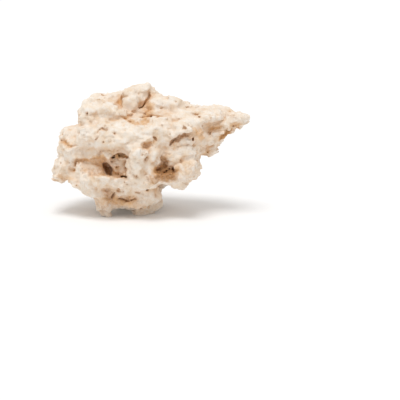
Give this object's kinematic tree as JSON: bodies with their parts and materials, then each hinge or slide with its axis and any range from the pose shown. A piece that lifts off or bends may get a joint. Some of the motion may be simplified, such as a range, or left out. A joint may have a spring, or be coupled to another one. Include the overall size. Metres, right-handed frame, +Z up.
{
  "type": "dry reef rock",
  "caption": "Loose lump of dry, porous coral limestone with ledges, clefts, deep pits and a long tongue at one end, for an aquarium or as an ornament.",
  "frame": {"origin": "on the ground, under the middle of the rock's box", "axes": "+X along the rock's length, towards the tongue; +Y to the rock's back; +Z up"},
  "size_m": [0.196, 0.1192, 0.1292],
  "materials": {
    "reef_stone": "matte"
  },
  "bodies": {
    "root": {"reef_rock": "reef_stone"}
  },
  "joints": []
}
